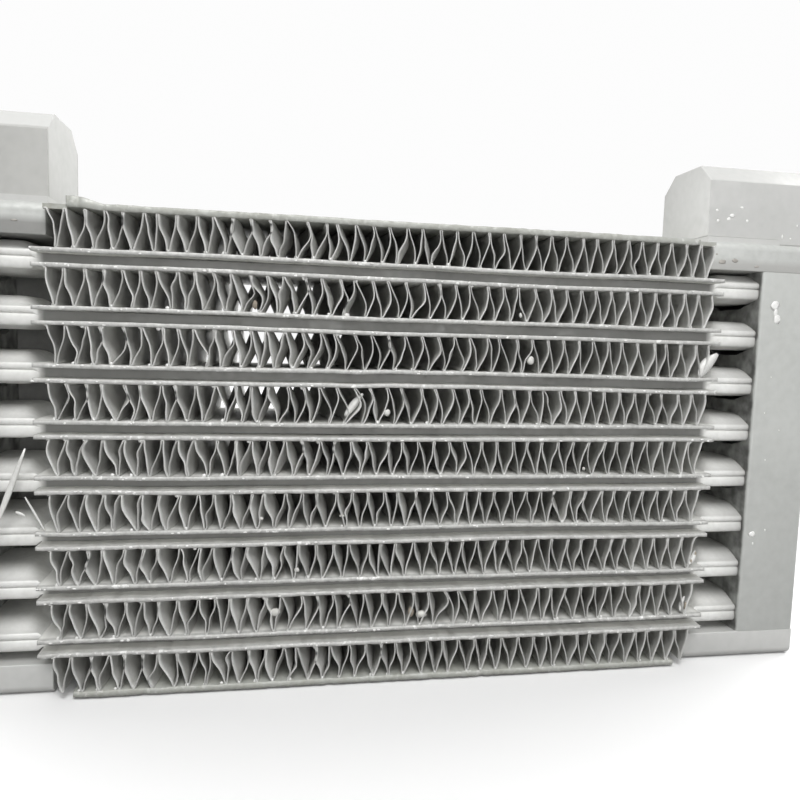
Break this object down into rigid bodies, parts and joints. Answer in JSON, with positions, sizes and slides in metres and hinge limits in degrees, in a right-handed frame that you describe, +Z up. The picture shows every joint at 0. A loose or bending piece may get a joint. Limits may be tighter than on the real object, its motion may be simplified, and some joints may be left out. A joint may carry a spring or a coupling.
{
  "type": "oil cooler",
  "caption": "Tube and fin oil cooler: flattened oil tubes and corrugated air fins between upright header tanks, with a threaded port block on top of each tank.",
  "frame": {"origin": "middle of the width and depth, at the height of the bottom bars' undersides", "axes": "+X along the tubes to the right of the picture, +Y from the front to the back, +Z up"},
  "size_m": [0.219, 0.032, 0.1292],
  "materials": {
    "header_tank": "fine satin, bright, lightly speckled",
    "port_block": "machined satin",
    "end_bar": "fine satin, bright on the rounded edge",
    "oil_tube": "dull, darker on the nose",
    "separator_sheet": "dull, with bright nicks at the edge",
    "air_fin": "thin dull foil",
    "side_plate": "dull, stained",
    "turbulator": "thin dull foil"
  },
  "bodies": {
    "root": {"header_tank_left": "header_tank", "port_block_left": "port_block", "top_bar_left": "end_bar", "bottom_bar_left": "end_bar", "air_guide_left": "side_plate", "header_tank_right": "header_tank", "port_block_right": "port_block", "top_bar_right": "end_bar", "bottom_bar_right": "end_bar", "air_guide_right": "side_plate", "oil_tube_1": "oil_tube", "turbulator_1": "turbulator", "upper_sheet_1": "separator_sheet", "lower_sheet_1": "separator_sheet", "oil_tube_2": "oil_tube", "turbulator_2": "turbulator", "upper_sheet_2": "separator_sheet", "lower_sheet_2": "separator_sheet", "oil_tube_3": "oil_tube", "turbulator_3": "turbulator", "upper_sheet_3": "separator_sheet", "lower_sheet_3": "separator_sheet", "oil_tube_4": "oil_tube", "turbulator_4": "turbulator", "upper_sheet_4": "separator_sheet", "lower_sheet_4": "separator_sheet", "oil_tube_5": "oil_tube", "turbulator_5": "turbulator", "upper_sheet_5": "separator_sheet", "lower_sheet_5": "separator_sheet", "oil_tube_6": "oil_tube", "turbulator_6": "turbulator", "upper_sheet_6": "separator_sheet", "lower_sheet_6": "separator_sheet", "oil_tube_7": "oil_tube", "turbulator_7": "turbulator", "upper_sheet_7": "separator_sheet", "lower_sheet_7": "separator_sheet", "oil_tube_8": "oil_tube", "turbulator_8": "turbulator", "upper_sheet_8": "separator_sheet", "lower_sheet_8": "separator_sheet", "fin_row_1": "air_fin", "fin_row_2": "air_fin", "fin_row_3": "air_fin", "fin_row_4": "air_fin", "fin_row_5": "air_fin", "fin_row_6": "air_fin", "fin_row_7": "air_fin", "fin_row_8": "air_fin", "fin_row_9": "air_fin", "top_side_plate": "side_plate", "bottom_side_plate": "side_plate"}
  },
  "joints": []
}
